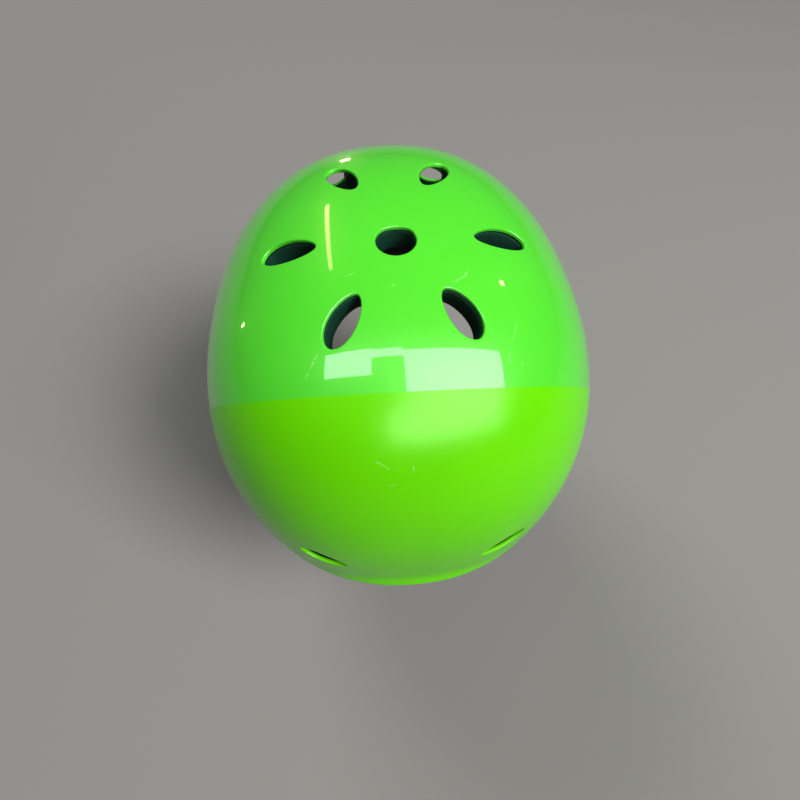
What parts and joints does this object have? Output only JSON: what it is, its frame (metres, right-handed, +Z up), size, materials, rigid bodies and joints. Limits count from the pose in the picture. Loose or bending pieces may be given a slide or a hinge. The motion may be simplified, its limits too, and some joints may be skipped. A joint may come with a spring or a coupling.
{
  "type": "surf helmet",
  "caption": "Water sports helmet: vented hard shell over a foam liner, comfort pads, riveted webbing, dividers with locking levers and a side-release chin buckle.",
  "frame": {"origin": "middle of the head opening: on the symmetry plane, halfway along the shell's length, level with the lowest stretch of the rim, where the wearer's head meets the helmet", "axes": "+Z up out of the crown, -Y forward out of the brow, +X towards the wearer's left"},
  "size_m": [0.216, 0.2646, 0.3031],
  "materials": {
    "shell_lime": "gloss lime green crown, satin lime lower front",
    "liner_foam": "closed-cell foam, very dark green",
    "pad_fabric": "knitted cover over soft foam",
    "hook_tape": "hook fastener",
    "rivet_steel": "satin stainless steel",
    "webbing": "woven polypropylene webbing",
    "divider_plastic": "moulded, fine texture",
    "buckle_plastic": "moulded, fine texture",
    "pin_steel": "plain steel",
    "keeper_rubber": "soft moulded band"
  },
  "bodies": {
    "helmet": {"outer_shell": "shell_lime", "impact_liner": "liner_foam", "brow_pad": "pad_fabric", "rear_pad": "pad_fabric", "side_pad_left": "pad_fabric", "side_pad_right": "pad_fabric", "crown_pad_front": "pad_fabric", "crown_pad_rear": "pad_fabric", "hook_dots": "hook_tape", "anchor_rivets": "rivet_steel", "anchor_washers": "rivet_steel", "long_strap_left": "webbing", "long_strap_right": "webbing", "rear_strap_left": "webbing", "rear_strap_right": "webbing", "divider_left": "divider_plastic", "divider_right": "divider_plastic", "lever_pin_left": "pin_steel", "lever_pin_right": "pin_steel", "buckle_socket": "buckle_plastic"},
    "lever_left": {"lever_left": "divider_plastic"},
    "lever_right": {"lever_right": "divider_plastic"},
    "plug": {"buckle_plug": "buckle_plastic"},
    "keeper": {"strap_keeper": "keeper_rubber"}
  },
  "joints": [
    {"name": "lever_right_flip", "type": "hinge", "parent": "helmet", "child": "lever_right", "pos_m": [0.09156, -0.00711, -0.0538], "axis": [0, -0.9781, 0.2079], "range_deg": [0, 95]},
    {"name": "lever_left_flip", "type": "hinge", "parent": "helmet", "child": "lever_left", "pos_m": [-0.09156, -0.00711, -0.0538], "axis": [0, 0.9781, -0.2079], "range_deg": [0, 95]},
    {"name": "buckle_release", "type": "slide", "parent": "helmet", "child": "plug", "axis": [1, 0, 0], "range_m": [0, 0.03], "deforming": ["long_strap_right"]},
    {"name": "keeper_slide", "type": "slide", "parent": "helmet", "child": "keeper", "axis": [0.2419, 0.2017, 0.9491], "range_m": [-0.008, 0.008]}
  ]
}
